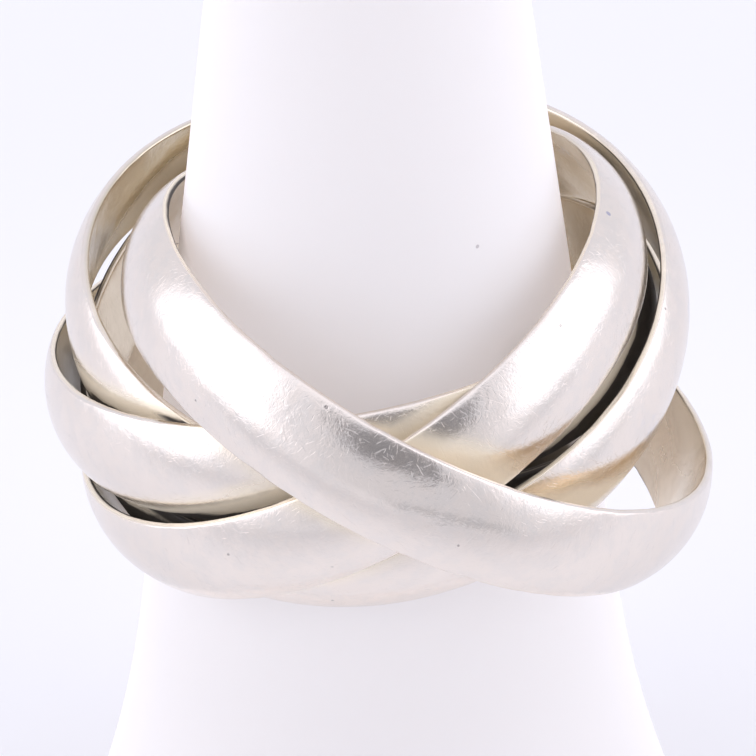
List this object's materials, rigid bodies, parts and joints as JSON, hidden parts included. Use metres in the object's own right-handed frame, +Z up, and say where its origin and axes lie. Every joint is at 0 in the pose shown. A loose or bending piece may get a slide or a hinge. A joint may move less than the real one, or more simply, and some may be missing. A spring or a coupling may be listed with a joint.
{
  "type": "rolling ring on a ring cone",
  "caption": "Rolling ring of plain half-round bands, all linked through each other and free to turn, hung on a plain tapered stand that it is shown on.",
  "frame": {"origin": "centre of the flat foot of the stand, on the surface that it stands on", "axes": "+Z up along the stand's axis, +X to the viewer's right, and the front faces -Y"},
  "size_m": [0.026, 0.0261, 0.0576],
  "materials": {
    "silver": "worn polish with fine scratches",
    "stand_plastic": "gloss"
  },
  "bodies": {
    "stand": {"ring_cone": "stand_plastic", "first_band": "silver"},
    "second_band": {"second_band": "silver"},
    "third_band": {"third_band": "silver"},
    "fourth_band": {"fourth_band": "silver"},
    "fifth_band": {"fifth_band": "silver"}
  },
  "joints": [
    {"name": "second_band_turn", "type": "hinge", "parent": "stand", "child": "second_band", "pos_m": [-0.0006, 0.00015, 0.02725], "axis": [-0.4849, 0.0855, 0.8704], "continuous": true},
    {"name": "third_band_turn", "type": "hinge", "parent": "stand", "child": "third_band", "pos_m": [-0.0009, 0.0013, 0.0269], "axis": [-0.1461, 0.2338, 0.9613], "continuous": true},
    {"name": "fourth_band_turn", "type": "hinge", "parent": "stand", "child": "fourth_band", "pos_m": [0, 0.0021, 0.0275], "axis": [0.1456, -0.0946, 0.9848], "continuous": true},
    {"name": "fifth_band_turn", "type": "hinge", "parent": "stand", "child": "fifth_band", "pos_m": [0.0002, 0.0009, 0.0274], "axis": [-0.2296, -0.2068, 0.9511], "continuous": true}
  ]
}
